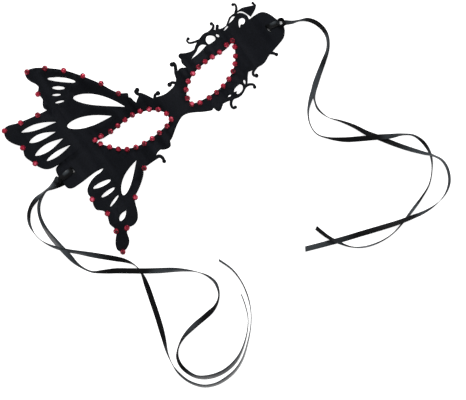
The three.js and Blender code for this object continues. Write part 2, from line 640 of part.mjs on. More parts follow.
/** One tail: a straight bar with a ring for each point of its route, laid along it. */
function tail(route, stack, leadPoints) {
  const steps = route.length - 1;
  const plan = new THREE.SplineCurve(route.map(([x, y]) => new THREE.Vector2(x, y)));
  const bar = new THREE.ExtrudeGeometry(ribbonSection(), { depth: steps, steps, bevelEnabled: false });
  const position = bar.getAttribute("position");
  for (let i = 0; i < position.count; i += 1) {
    const step = Math.round(position.getZ(i));
    const [, , degrees, lift] = route[step];
    const turn = THREE.MathUtils.degToRad(degrees);
    const together = step < leadPoints ? 1 : 0;
    const across = position.getX(i);
    const through = position.getY(i) + (stack * together * (RIBBON_THICKNESS + RIBBON_GAP)) / 2;
    const middle = plan.getPoint(step / steps);
    const along = plan.getTangent(step / steps);
    const side = Math.cos(turn) * across - Math.sin(turn) * through;
    const rise = Math.sin(turn) * across + Math.cos(turn) * through;
    const rest = (Math.abs(Math.sin(turn)) * RIBBON_WIDTH + RIBBON_THICKNESS) / 2 + RIBBON_GAP * together;
    position.setXYZ(i, middle.x - along.y * side, middle.y + along.x * side, rest + lift + rise + 0.1);
  }
  return solidOf(bar);
}

/** Loop of ribbon through the slot and round the end of the tab, and the knot on top of it. */
function hitch(side) {
  const sign = side === "right" ? 1 : -1;
  const inner = SLOT_OUT + 0.1; // against the outer side of the slot
  const outer = TAB_END[side] + RIBBON_GAP + RIBBON_THICKNESS;
  const under = TAB_LIFT - RIBBON_GAP - RIBBON_THICKNESS;
  const over = TAB_LIFT + LEATHER_THICKNESS + RIBBON_GAP + RIBBON_THICKNESS;
  const frame = (inset) => {
    const [near, far] = [sign * (inner + inset), sign * (outer - inset)].sort((a, b) => a - b);
    const [low, high] = [under + inset, over - inset];
    return [[near, low], [far, low], [far, high], [near, high]].map(vector);
  };
  const shape = new THREE.Shape(frame(0));
  shape.holes.push(new THREE.Path(frame(RIBBON_THICKNESS)));
  const band = new THREE.ExtrudeGeometry(shape, { depth: RIBBON_WIDTH, bevelEnabled: false });
  band.rotateX(Math.PI / 2).translate(0, SLOT_MIDDLE[side] + RIBBON_WIDTH / 2, 0);
  const knot = new THREE.SphereGeometry(1, 10, 7).scale(...KNOT_RADII).translate(...KNOTS[side]);
  return solidOf(band).add(solidOf(knot));
}

function ribbon(side) {
  const tails = Object.entries(ROUTES).filter(([name]) => name.startsWith(side));
  const strands = tails.map(([, route], index) => tail(route, index === 0 ? -1 : 1, LEAD_POINTS[side]));
  return meshOf(`ribbon_${side}`, joined([hitch(side), ...strands]), RIBBON_BLACK);
}

// Whole mask, moved so that the middle of the leather and stones stands at the origin

const mask = new THREE.Group();
mask.add(meshOf("leather_mask", leather(), LEATHER_BLACK), ...stones());
mask.updateMatrixWorld(true);
const middle = new THREE.Box3().setFromObject(mask).getCenter(new THREE.Vector3());
mask.add(ribbon("left"), ribbon("right"));
mask.position.set(-middle.x, -middle.y, 0);

const root = new THREE.Group();
root.add(mask);

export default root;
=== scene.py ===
"""Looks of a one-sided butterfly mask: cut black leather, red glass stones and two satin ribbons."""

import json
import logging
import math
from collections.abc import Callable, Iterator, Sequence
from contextlib import contextmanager
from dataclasses import dataclass
from enum import Enum

import bmesh
import bpy
import numpy as np
from mathutils import Matrix, Quaternion, Vector
from mathutils.kdtree import KDTree

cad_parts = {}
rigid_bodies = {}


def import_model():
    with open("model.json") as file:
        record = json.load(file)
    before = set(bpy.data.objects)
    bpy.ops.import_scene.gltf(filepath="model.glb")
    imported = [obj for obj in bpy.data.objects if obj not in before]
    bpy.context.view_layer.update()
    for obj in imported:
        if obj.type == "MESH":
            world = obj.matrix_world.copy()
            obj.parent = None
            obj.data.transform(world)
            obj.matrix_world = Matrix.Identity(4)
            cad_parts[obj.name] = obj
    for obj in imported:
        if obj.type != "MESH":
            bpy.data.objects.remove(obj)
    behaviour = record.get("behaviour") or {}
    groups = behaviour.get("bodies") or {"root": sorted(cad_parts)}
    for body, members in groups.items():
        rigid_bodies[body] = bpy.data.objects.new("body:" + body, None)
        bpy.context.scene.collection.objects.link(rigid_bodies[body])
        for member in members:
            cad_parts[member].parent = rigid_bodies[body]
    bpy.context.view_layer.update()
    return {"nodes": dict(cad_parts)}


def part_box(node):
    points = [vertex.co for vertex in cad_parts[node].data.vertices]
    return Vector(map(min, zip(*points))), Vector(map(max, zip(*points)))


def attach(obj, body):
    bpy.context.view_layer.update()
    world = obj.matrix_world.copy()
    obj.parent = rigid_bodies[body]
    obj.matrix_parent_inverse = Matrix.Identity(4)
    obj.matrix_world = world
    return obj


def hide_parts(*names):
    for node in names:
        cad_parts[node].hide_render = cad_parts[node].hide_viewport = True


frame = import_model()

LOG = logging.getLogger("butterfly mask")
MM = 0.001
Object = bpy.types.Object
Material = bpy.types.Material
Colour = tuple[float, float, float, float]
Route = list[tuple[float, float, float, float]]


# Helpers for edit mode


def only(*pieces: Object) -> None:
    """Deselect everything, then select the given pieces and make the last one active.

    Args:
        pieces: objects to select.
    """
    for other in bpy.context.view_layer.objects:
        other.select_set(False)
    for piece in pieces:
        piece.select_set(True)
        bpy.context.view_layer.objects.active = piece


@contextmanager
def editing(piece: Object, parts: str = "FACE") -> Iterator[None]:
    """Keep a piece in edit mode.

    Args:
        piece: the mesh object.
        parts: what is selected, VERT, EDGE or FACE.
    """
    only(piece)
    bpy.ops.object.mode_set(mode="EDIT")
    bpy.ops.mesh.select_mode(type=parts)
    yield
    bpy.ops.object.mode_set(mode="OBJECT")


def pick_faces(piece: Object, test: Callable[[bmesh.types.BMFace], bool]) -> None:
    """Select the faces of the piece in edit mode that pass a test.

    Args:
        piece: the mesh object in edit mode.
        test: says whether a face is wanted.
    """
    bpy.ops.mesh.select_all(action="DESELECT")
    for face in bmesh.from_edit_mesh(piece.data).faces:
        if test(face):
            face.select_set(True)
    bmesh.update_edit_mesh(piece.data)


def own_copy(source: Object, name: str) -> Object:
    """Copy of an object with a mesh of its own and no materials.

    Args:
        source: object to copy.
        name: name of the copy.

    Returns:
        The new object, linked to the scene.
    """
    piece = bpy.data.objects.new(name, source.data.copy())
    piece.data.name = name
    piece.data.materials.clear()
    bpy.context.scene.collection.objects.link(piece)
    return piece


def smooth(piece: Object, degrees: float) -> None:
    """Shade a piece smooth, except along edges that are sharper than an angle."""
    only(piece)
    bpy.ops.object.shade_smooth_by_angle(angle=math.radians(degrees))


def hand_over(piece: Object, finish: Material, slot: str, *nodes: str) -> None:
    """Give a piece its finish and its place in the part.

    Args:
        piece: the finished object.
        finish: its material.
        slot: not used.
        nodes: solids that the piece stands for.
    """
    piece.data.materials.clear()
    piece.data.materials.append(finish)
    if nodes:
        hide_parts(*nodes)
    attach(piece, "root")
    LOG.info("%s: %d faces", piece.name, len(piece.data.polygons))


# Shader arithmetic


class Value:
    """Output of a shader node that can be used in arithmetic."""

    def __init__(self, shader: "Shader", socket: bpy.types.NodeSocket) -> None:
        """Wrap a socket of a shader."""
        self.shader = shader
        self.socket = socket

    def math(self, operation: str, *others: "Value | float", first: bool = True) -> "Value":
        """Add a Math node.

        Args:
            operation: the node's operation.
            others: its other operands.
            first: whether this value is the first operand.

        Returns:
            The node's result.
        """
        operands = [self, *others] if first else [*others, self]
        inputs = dict(enumerate(operands))
        return self.shader.add("ShaderNodeMath", {"operation": operation}, inputs)

    def __add__(self, other: "Value | float") -> "Value":
        """Sum."""
        return self.math("ADD", other)

    __radd__ = __add__

    def __sub__(self, other: "Value | float") -> "Value":
        """Difference."""
        return self.math("SUBTRACT", other)

    def __rsub__(self, other: float) -> "Value":
        """Difference from a number."""
        return self.math("SUBTRACT", other, first=False)

    def __mul__(self, other: "Value | float") -> "Value":
        """Product."""
        return self.math("MULTIPLY", other)

    __rmul__ = __mul__

    def sine(self) -> "Value":
        """Sine of the value."""
        return self.math("SINE")

    def between(self, low: float, high: float) -> "Value":
        """Smooth rise from 0 at one value to 1 at another.

        Args:
            low: where the result is 0.
            high: where the result is 1.

        Returns:
            The value mapped and clamped.
        """
        settings = {"interpolation_type": "SMOOTHSTEP"}
        limits = {"Value": self, "From Min": low, "From Max": high}
        return self.shader.add("ShaderNodeMapRange", settings, limits)


class Shader:
    """Node tree of one finish."""

    def __init__(self, name: str) -> None:
        """Start an empty material."""
        self.material = bpy.data.materials.new(name)
        self.material.use_nodes = True
        self.tree = self.material.node_tree
        self.tree.nodes.clear()

    def add(
        self,
        kind: str,
        settings: dict[str, object] | None = None,
        inputs: dict[str | int, object] | None = None,
        output: str | int = 0,
    ) -> Value:
        """Add one node.

        Args:
            kind: type of the node.
            settings: its settings.
            inputs: numbers, colours or values for its sockets.
            output: socket to return.

        Returns:
            The chosen output.
        """
        node = self.tree.nodes.new(kind)
        for name, setting in (settings or {}).items():
            setattr(node, name, setting)
        for name, given in (inputs or {}).items():
            if isinstance(given, Value):
                self.tree.links.new(given.socket, node.inputs[name])
            else:
                node.inputs[name].default_value = given
        return Value(self, node.outputs[output]) if node.outputs else Value(self, None)

    def mix(self, share: Value | float, low: Value | Colour, high: Value | Colour) -> Value:
        """Mix of two colours, by how much of the second one shows."""
        settings = {"data_type": "RGBA"}
        return self.add("ShaderNodeMix", settings, {0: share, 6: low, 7: high}, output=2)

    def object_point(self) -> Value:
        """Place on the piece, in metres."""
        return self.add("ShaderNodeTexCoord", output="Object")

    def attribute(self, name: str) -> Value:
        """A number stored on the piece under a name."""
        return self.add("ShaderNodeAttribute", {"attribute_name": name}, output="Fac")

    def noise(self, scale: float, detail: float, **more: float) -> Value:
        """Soft noise over the piece, with its spots per metre and its depth of detail."""
        inputs = {"Vector": self.object_point(), "Scale": scale, "Detail": detail}
        return self.add("ShaderNodeTexNoise", None, inputs | more)

    def bump(self, height: Value, depth: float, strength: float) -> Value:
        """Normal of a relief, with its depth in metres and its strength."""
        inputs = {"Height": height, "Distance": depth, "Strength": strength}
        return self.add("ShaderNodeBump", None, inputs, "Normal")

    def surface(self, inputs: dict[str | int, object]) -> Material:
        """Finish the material with a principled surface.

        Args:
            inputs: values of the surface's sockets.

        Returns:
            The material.
        """
        closure = self.add("ShaderNodeBsdfPrincipled", None, inputs)
        self.add("ShaderNodeOutputMaterial", None, {"Surface": closure})
        return self.material


# Finishes


@dataclass(frozen=True)
class LeatherFinish:
    """Matte black hide: pebbled grain with painted shade in its hollows, dark edges with a burnish and a
    rough charcoal underside.
    """

    name: str = "black_leather"
    grain_side: Colour = (0.0052, 0.0062, 0.0091, 1.0)
    worn_side: Colour = (0.0078, 0.0091, 0.0128, 1.0)
    burnish_and_painted_shade: Colour = (0.0012, 0.0012, 0.0014, 1.0)
    flesh_side: Colour = (0.022, 0.020, 0.019, 1.0)
    clouds_per_metre: float = 55.0
    creases_per_metre: float = 210.0
    pebbles_per_metre: float = 1350.0
    pores_per_metre: float = 3800.0
    depth: float = 0.00007

    def material(self) -> Material:
        """Build the finish."""
        shader = Shader(self.name)
        rim = shader.attribute("rim")
        flesh = shader.attribute("flesh")
        cells = {"Vector": shader.object_point(), "Scale": self.pebbles_per_metre, "Smoothness": 0.35}
        pebble = shader.add("ShaderNodeTexVoronoi", {"feature": "SMOOTH_F1"}, cells)
        pore = shader.noise(self.pores_per_metre, 3.0, Roughness=0.6)
        crease = shader.noise(self.creases_per_metre, 5.0, Distortion=1.2)
        wear = shader.noise(self.clouds_per_metre, 4.0).between(0.35, 0.72)
        face = shader.mix(wear, self.grain_side, self.worn_side)
        # Painted shade: the hollows between the pebbles are darkened toward the edge colour
        face = shader.mix(pebble.between(0.25, 0.75) * 0.45, face, self.burnish_and_painted_shade)
        face = shader.mix(flesh * (0.7 + pore * 0.5), face, self.flesh_side)
        face = shader.mix(rim * (1.0 - flesh * 0.6), face, self.burnish_and_painted_shade)
        relief = 1.0 - pebble + pore * 0.35 + crease * 0.8
        return shader.surface(
            {
                "Base Color": face,
                "Roughness": 0.68 + pore * 0.12 + flesh * 0.2 - rim * 0.14,
                "Specular IOR Level": 0.09,
                "Normal": shader.bump(relief, self.depth, 0.7),
            }
        )


@dataclass(frozen=True)
class GlassFinish:
    """Foil-backed crimson glass: each facet gets its own share of painted light and shade, at random,
    under a bright polish.
    """

    name: str = "red_glass"
    # Painted shade and painted highlight of the facets, around the crimson body
    painted_facet_shade: Colour = (0.028, 0.0, 0.003, 1.0)
    crimson: Colour = (0.47, 0.001, 0.030, 1.0)
    painted_facet_highlight: Colour = (1.0, 0.16, 0.26, 1.0)
    flashes_per_metre: float = 900.0

    def material(self) -> Material:
        """Build the finish."""
        shader = Shader(self.name)
        cells = {"Vector": shader.object_point(), "Scale": self.flashes_per_metre}
        inner = shader.add("ShaderNodeTexVoronoi", {"feature": "F1"}, cells, "Color")
        flash = shader.add("ShaderNodeSeparateColor", None, {"Color": inner})
        # Painted light: facet strength and small flashes mix painted shade, the crimson body and painted
        # highlight
        light = shader.attribute("painted_facet_light") * 0.75 + flash * 0.25
        body = shader.mix(light.between(0.1, 0.62), self.painted_facet_shade, self.crimson)
        body = shader.mix(light.between(0.6, 0.95), body, self.painted_facet_highlight)
        return shader.surface(
            {
                "Base Color": body,
                "Metallic": 0.55,
                "Roughness": 0.16,
                "Coat Weight": 0.5,
                "Coat Roughness": 0.03,
                "Coat IOR": 1.45,
            }
        )


@dataclass(frozen=True)
class SatinFinish:
    """Black satin: fine yarns along it, close picks across it, and sheen, highlights and glints painted
    into its colour on the stretches that catch the light.
    """

    name: str = "black_satin"
    shade: Colour = (0.0022, 0.0023, 0.0028, 1.0)
    # Painted sheen, painted highlight and painted glint: lighter colours that stand in for light on the
    # black satin
    painted_sheen: Colour = (0.040, 0.047, 0.053, 1.0)
    painted_satin_highlight: Colour = (0.20, 0.20, 0.205, 1.0)
    painted_satin_glint: Colour = (0.55, 0.56, 0.56, 1.0)
    yarns_per_mm: float = 5.0
    picks_per_mm: float = 3.4
    slubs_per_metre: float = 420.0
    depth: float = 0.00003

    def material(self) -> Material:
        """Build the finish."""
        shader = Shader(self.name)
        weave = shader.add("ShaderNodeUVMap", {"uv_map": "weave"})
        across = shader.add("ShaderNodeSeparateXYZ", None, {"Vector": weave}, "X")
        along = shader.add("ShaderNodeSeparateXYZ", None, {"Vector": weave}, "Y")
        turn = 2.0 * math.pi
        yarn = (across * (turn * self.yarns_per_mm)).sine()
        pick = (along * (turn * self.picks_per_mm)).sine()
        slub = shader.noise(self.slubs_per_metre, 3.0)
        relief = yarn * 0.5 + pick * 0.28 + slub * 1.6
        # Painted light: the stored strength mixes the painted sheen, highlight and glint into the black
        lit = shader.attribute("lit") * (0.9 + slub * 0.2) + pick * 0.02
        colour = shader.mix(lit.between(0.0, 1.0), self.shade, self.painted_sheen)
        colour = shader.mix(lit.between(1.0, 2.0), colour, self.painted_satin_highlight)
        colour = shader.mix(lit.between(2.0, 3.0), colour, self.painted_satin_glint)
        return shader.surface(
            {
                "Base Color": colour,
                "Roughness": 0.42 + slub * 0.1,
                "Specular IOR Level": 0.1,
                "Normal": shader.bump(relief, self.depth, 0.6),
            }
        )


@dataclass(frozen=True)
class TableFinish:
    """White lit table."""

    name: str = "white_table"
    white: Colour = (0.9, 0.9, 0.9, 1.0)
    glow: float = 0.8

    def material(self) -> Material:
        """Build the finish."""
        shader = Shader(self.name)
        return shader.surface(
            {
                "Base Color": self.white,
                "Roughness": 0.9,
                "Specular IOR Level": 0.0,
                "Emission Color": (1.0, 1.0, 1.0, 1.0),
                "Emission Strength": self.glow,
            }
        )


# Places and heights


@dataclass(frozen=True)
class Drawing:
    """The mask's drawing: millimetres from the middle between the eyes, X across and Y up the face."""

    right_end: float = 101.2
    top: float = 82.0

    def shift(self) -> Vector:
        """Where the drawing's middle stands in the row frame, in millimetres."""
        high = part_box("leather_mask")[1] / MM
        return Vector((high.x - self.right_end, high.y - self.top, 0.0))

    def at(self, x: float, y: float, z: float = 0.0) -> Vector:
        """Point of the row frame in metres, from places across and up the face and a height."""
        return (Vector((x, y, z)) + self.shift()) * MM


@dataclass(frozen=True)
class FaceForm:
    """Heights that the wet leather is formed to: the sheet's underside above the surface."""

    crown: float = 20.0
    crown_half_span: float = 77.0
    nose_ridge: float = 2.0
    nose_half_width: float = 15.0
    wing_root: float = 72.8
    wing_lift: float = 3.4
    wing_lift_length: float = 16.0
    wing_level: float = 46.0
    wing_tip: float = 70.0
    tab_lift: float = 1.2
    pad_end: float = 85.0
    tab_level: float = 88.7
    tab_half_width: float = 11.2

    @staticmethod
    def bell(distance: float, half_width: float) -> float:
        """Height of a smooth hump, 1 in its middle and 0 from its half width on."""
        return (1 + math.cos(math.pi * distance / half_width)) / 2 if distance < half_width else 0.0

    @staticmethod
    def ease(value: float, low: float, high: float) -> float:
        """Smooth rise from 0 to 1 between two values."""
        share = min(max((value - low) / (high - low), 0.0), 1.0)
        return share * share * (3 - 2 * share)

    def height(self, x: float, y: float) -> float:
        """Height of the underside.

        Args:
            x: across the face.
            y: up the face.

        Returns:
            Millimetres above the surface.
        """
        out = abs(x)
        crown = self.crown * self.bell(out, self.crown_half_span)
        crown += self.nose_ridge * self.bell(out, self.nose_half_width)
        on_tab = x > 0 or (x < -self.wing_root and abs(y) < self.tab_half_width)
        if on_tab:
            return crown + self.tab_lift * self.ease(out, self.pad_end, self.tab_level)
        away = self.ease(-x, self.wing_root, self.wing_root + self.wing_lift_length)
        level = 1 - self.ease(abs(y), self.wing_level, self.wing_tip)
        return crown + self.wing_lift * away * level

    def upright(self, x: float, y: float) -> Vector:
        """Direction square to the sheet at a place.

        Args:
            x: across the face.
            y: up the face.

        Returns:
            Unit vector.
        """
        slope_x = self.height(x + 0.5, y) - self.height(x - 0.5, y)
        slope_y = self.height(x, y + 0.5) - self.height(x, y - 0.5)
        return Vector((-slope_x, -slope_y, 1.0)).normalized()


# Camera and light


@dataclass
class Studio:
    """Camera straight above the mask, a lit white table and soft light from the picture's top.

    The camera's measures are in millimetres, those of the table and the light in metres.
    """

    drawing: Drawing
    middle: tuple[float, float] = (-6.8, -87.6)
    right: tuple[float, float] = (0.806, -0.592)
    picture_width: float = 349.5
    camera_height: float = 4000.0
    sensor: float = 36.0
    view_depth: float = 100.0
    table_size: float = 60.0
    key_place: tuple[float, float, float] = (-0.3, 1.5, 1.5)
    key_size: float = 1.2
    key_power: float = 36.0
    sky: float = 0.5

    def camera(self) -> None:
        """Set up the camera, turned so that its right follows the picture's."""
        data = bpy.data.cameras.new("camera")
        data.sensor_width = self.sensor
        data.lens = self.sensor * self.camera_height / self.picture_width
        data.clip_end = self.view_depth
        camera = bpy.data.objects.new("camera", data)
        bpy.context.scene.collection.objects.link(camera)
        camera.location = self.drawing.at(*self.middle, self.camera_height)
        camera.rotation_euler = (0.0, 0.0, math.atan2(self.right[1], self.right[0]))
        bpy.context.scene.camera = camera
        LOG.info("camera: %.0f mm lens", data.lens)

    def table(self) -> None:
        """Lay the white table under the mask."""
        bpy.ops.mesh.primitive_plane_add(size=self.table_size, location=(0.0, 0.0, 0.0))
        table = bpy.context.active_object
        table.name = "table"
        table.data.materials.append(TableFinish().material())
        table.visible_glossy = False

    def key_light(self) -> None:
        """Hang a soft box that looks at the middle of the mask."""
        data = bpy.data.lights.new("key", "AREA")
        data.shape = "SQUARE"
        data.size = self.key_size
        data.energy = self.key_power
        lamp = bpy.data.objects.new("key", data)
        bpy.context.scene.collection.objects.link(lamp)
        towards_right, towards_top, height = self.key_place
        right = Vector((*self.right, 0.0))
        top = Vector((-self.right[1], self.right[0], 0.0))
        place = top * towards_top + right * towards_right + Vector((0.0, 0.0, height))
        lamp.location = place
        lamp.rotation_euler = place.to_track_quat("Z", "Y").to_euler()
        lamp.visible_camera = False

    def even_light(self) -> None:
        """Set up the even sky and show colours as they are."""
        world = bpy.data.worlds.new("sky")
        world.use_nodes = True
        sky = world.node_tree.nodes["Background"]
        sky.inputs["Color"].default_value = (1.0, 1.0, 1.0, 1.0)
        sky.inputs["Strength"].default_value = self.sky
        bpy.context.scene.world = world
        bpy.context.scene.view_settings.view_transform = "Standard"
        bpy.context.scene.view_settings.look = "None"


# Ribbons


class Side(Enum):
    """End of the mask that a ribbon is tied to."""

    LEFT = "left"
    RIGHT = "right"


# Routes: x, y, how far the ribbon is turned up on its edge in degrees, and how high it is lifted
RIGHT_LEAD: Route = [
    (103.2, -3.5, 40, 3), (107.7, -6.6, 68, 1.4), (113.1, -8.8, 86, 0), (118.4, -12, 60, 0),
    (122.1, -17.7, 50, 0), (123.6, -25, 54, 0), (122.1, -31.9, 68, 0), (117.2, -38.6, 68, 0),
    (109.4, -44.1, 46, 0), (100.8, -49.7, 28, 0), (91.6, -56.4, 10, 0),
]
TAIL_ROUTES: dict[str, Route] = {
    "right_upper": [
        *RIGHT_LEAD,
        (84.4, -61.4, 50, 0), (77.5, -67.8, 76, 0), (73.2, -76.4, 84, 0), (73.2, -85.1, 84, 0),
        (78.5, -92.7, 72, 0), (87.3, -100.6, 30, 0.6), (97, -106.9, 10, 2.8), (107.5, -113.2, 8, 3.2),
        (116.2, -118.7, 28, 1.8), (125.3, -123.7, 72, 0), (131.2, -129.2, 72, 0), (133.8, -138, 54, 0),
        (132.6, -148, 68, 0), (127.1, -157.2, 84, 0), (118.7, -165.1, 82, 0), (108.9, -169.5, 72, 0),
        (98, -173, 60, 0), (87, -176.2, 74, 0), (76, -178.6, 84, 0), (64.6, -178.2, 80, 0),
        (53.3, -174.9, 75, 0), (44.8, -169.2, 82, 0), (39, -161.4, 64, 0.8), (34.2, -152, 50, 0.4),
        (31.1, -141.1, 42, 0),
    ],
    "right_lower": [
        *RIGHT_LEAD,
        (87.1, -62.7, 74, 0), (84.9, -70.4, 72, 0), (87.3, -79.7, 90, 0), (93.5, -88.1, 110, 0),
        (99.2, -97.1, 132, 0), (103.8, -106.6, 154, 0), (109, -114.6, 166, 0), (114.7, -123.9, 158, 0),
        (121.9, -134.4, 148, 0), (128.8, -143.4, 128, 0.8), (133.9, -149.8, 112, 3.2),
        (137.1, -157, 116, 2.4), (136.2, -165.3, 120, 0), (131.3, -173.3, 118, 0),
        (123.3, -178.4, 102, 0), (113.4, -180.2, 84, 0.8), (103, -179.5, 60, 3),
        (93.6, -177.3, 44, 3.2), (82.3, -174.2, 30, 1.4), (68.9, -169.6, 12, 0), (55.5, -164.8, 0, 0),
        (42, -160, -6, 0), (28.7, -154.8, 6, 0), (15, -149.3, 6, 0),
    ],
    "left_outer": [
        (-105.2, 2.3, 20, 3.2), (-109.8, 1.5, 50, 1.4), (-114.7, 1.6, 78, 0), (-120, 1, 64, 0),
        (-126.2, 0, 30, 0), (-132.4, -2.3, 46, 0), (-137.1, -6.3, 48, 0), (-140.6, -12.4, 62, 0),
        (-141.6, -20.8, 88, 0), (-139.9, -28.9, 84, 0), (-135.3, -37.3, 62, 0), (-129.3, -44.7, 54, 0),
        (-122.5, -51.7, 44, 0), (-114.1, -60.5, 16, 0), (-104.9, -69.9, 18, 0), (-98.6, -76.9, 50, 0),
        (-95, -83.6, 82, 0), (-94.5, -91.3, 70, 0), (-96.8, -100.9, 22, 0), (-100.3, -112.3, 4, 0),
        (-104.8, -126.3, 0, 0), (-109.8, -139.6, 34, 0), (-114.1, -149.9, 70, 0),
        (-116.3, -159.4, 87, 0), (-116.5, -168, 70, 0), (-113.8, -178, 64, 0), (-107.6, -186.6, 56, 0),
        (-99.1, -191.2, 54, 0), (-90, -192.4, 50, 0), (-80.5, -191.5, 58, 0), (-70.9, -187.6, 68, 0),
        (-61, -180.3, 76, 0), (-52, -171.8, 84, 0), (-45.1, -162.5, 86, 0), (-40.5, -152.3, 82, 0),
        (-37.9, -141, 82, 0), (-38.1, -129.1, 76, 0), (-41.9, -117.5, 72, 0),
    ],
    "left_inner": [
        (-102, -1.8, 8, 0), (-106.6, -1.4, 48, 0), (-111, -0.4, 64, 0), (-115.2, 0.6, 78, 0),
        (-120.3, -0.6, 64, 0), (-125.9, -4.1, 54, 0), (-129.9, -9.7, 54, 0), (-132.2, -17, 48, 0),
        (-133, -25.8, 34, 0), (-132.3, -36, 6, 0.4), (-130.9, -47, 6, 3.2), (-129, -58.4, 60, 4),
        (-124.3, -67.9, 74, 2), (-116.6, -73.6, 46, 0), (-108.4, -78.8, 10, 0.4),
        (-100.6, -84.6, 4, 3.6), (-92.4, -90.7, 6, 4), (-83.3, -97.1, 10, 1.4),
        (-75.3, -102.4, 30, 0), (-67.6, -108.2, 60, 0), (-60.3, -115.3, 86, 0), (-55.5, -123.1, 70, 0),
        (-54.3, -131, 60, 0), (-57.9, -139.2, 76, 0), (-65.2, -144.1, 54, 0), (-75, -145.7, 0, 0),
        (-86, -146.4, 16, 0), (-97, -148.3, 56, 0), (-105.4, -152.5, 78, 0), (-110.6, -158.8, 60, 0),
        (-111.5, -167.5, 46, 0), (-107.7, -177.6, 52, 0), (-100, -183.8, 36, 0), (-89.6, -187, 40, 0),
        (-79, -186.6, 46, 0), (-69.1, -182.9, 66, 0), (-58.6, -175.3, 80, 0), (-50.6, -166.4, 86, 0),
        (-46.3, -157.4, 84, 0), (-43.6, -148.4, 84, 0),
    ],
}
# How strongly the sheen painted into a tail's colour shows at the points of its route, where it does
LIT_LEAD: dict[int, float] = {0: 0.6, 1: 1.1, 2: 1.2, 6: 1.0, 7: 0.8, 8: 0.2, 9: 0.8, 10: 0.9}
LIT_POINTS: dict[str, dict[int, float]] = {
    "right_upper": {
        **LIT_LEAD, 11: 0.8, 12: 0.8, 19: 1.0, 20: 1.3, 21: 0.6, 23: 0.8, 27: 0.9, 31: 1.5, 33: 0.5,
    },
    "right_lower": {
        **LIT_LEAD, 11: 1.3, 12: 0.6, 19: 0.5, 20: 0.9, 21: 1.3, 22: 1.2, 23: 1.0, 24: 1.0, 25: 0.8,
        27: 0.8, 32: 0.5, 33: 0.7, 34: 0.9,
    },
    "left_outer": {
        1: 1.0, 2: 1.6, 3: 1.2, 4: 0.3, 7: 0.8, 10: 1.2, 11: 0.9, 12: 1.2, 13: 0.5, 22: 0.6, 24: 0.8,
        25: 1.2, 26: 1.8, 27: 1.8, 28: 1.8, 29: 2.0, 30: 2.2, 31: 2.3, 32: 2.0, 33: 1.5, 36: 0.6,
        37: 0.8,
    },
    "left_inner": {
        2: 1.1, 3: 1.8, 4: 1.1, 5: 0.8, 6: 0.8, 7: 0.8, 8: 1.6, 9: 1.3, 10: 0.7, 11: 0.6, 12: 0.6,
        17: 0.8, 18: 1.0, 19: 1.2, 21: 0.6, 22: 1.0, 26: 0.5, 27: 0.3, 31: 1.7, 32: 1.8, 33: 1.6,
        34: 1.8, 35: 2.1, 36: 2.3, 37: 2.0, 38: 1.2, 39: 1.2,
    },
}


def through_points(points: np.ndarray, per_span: int) -> np.ndarray:
    """Smooth line through points, with the same share of samples in each span.

    Args:
        points: one row for each point.
        per_span: samples for each span.

    Returns:
        One row for each sample, from the first point to the last.
    """
    padded = np.vstack([points[:1], points, points[-1:]])
    rows = []
    for index in range(len(points) - 1):
        before, start, end, after = padded[index:index + 4]
        leave, arrive = (end - before) / 2, (after - start) / 2
        for step in range(per_span):
            t = step / per_span
            cubic = (2 * start - 2 * end + leave + arrive) * t ** 3
            square = (3 * end - 3 * start - 2 * leave - arrive) * t ** 2
            rows.append(cubic + square + leave * t + start)
    rows.append(points[-1])
    return np.array(rows)


def evenly(rows: np.ndarray, spacing: float, columns: int) -> np.ndarray:
    """Resample a line at even steps along it.

    Args:
        rows: samples whose first columns are the place.
        spacing: wanted distance between samples.
        columns: how many columns are the place.

    Returns:
        The resampled rows.
    """
    steps = np.linalg.norm(np.diff(rows[:, :columns], axis=0), axis=1)
    run = np.concatenate([[0.0], np.cumsum(steps)])
    count = max(int(round(run[-1] / spacing)), 2)
    wanted = np.linspace(0.0, run[-1], count + 1)
    return np.column_stack([np.interp(wanted, run, rows[:, i]) for i in range(rows.shape[1])])


